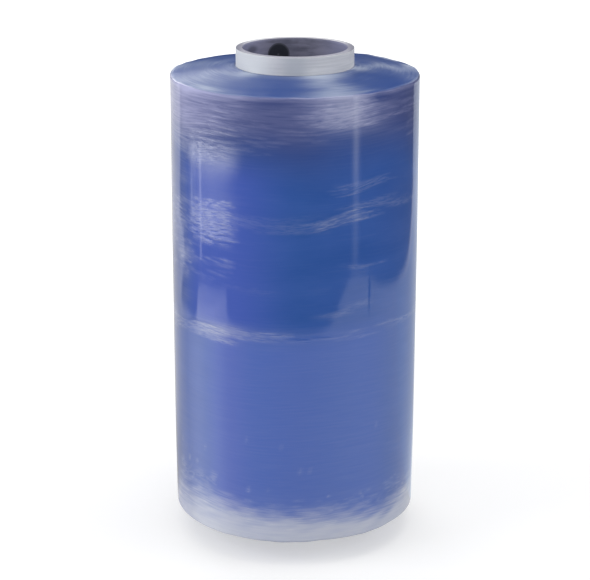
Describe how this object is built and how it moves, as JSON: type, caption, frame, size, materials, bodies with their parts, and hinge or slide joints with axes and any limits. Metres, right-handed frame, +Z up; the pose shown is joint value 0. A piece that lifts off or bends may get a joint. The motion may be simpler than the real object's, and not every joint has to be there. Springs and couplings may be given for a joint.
{
  "type": "freezer film roll",
  "caption": "Upright roll of glossy, translucent blue freezer film wound on a pale paperboard core, which is open right through and stands out past the film at top and bottom.",
  "frame": {"origin": "the core's axis, in the plane of its lower end, on which the roll stands", "axes": "+Z up along the core's axis; the label in the core's upper end is on the +Y side, so the side seen first is -Y"},
  "size_m": [0.1819, 0.182, 0.368],
  "materials": {
    "core_board": "matt, pale outside and grey inside",
    "blue_film": "glossy translucent film",
    "dark_label": "satin"
  },
  "bodies": {
    "root": {"core": "core_board", "film": "blue_film", "core_label": "dark_label"}
  },
  "joints": []
}
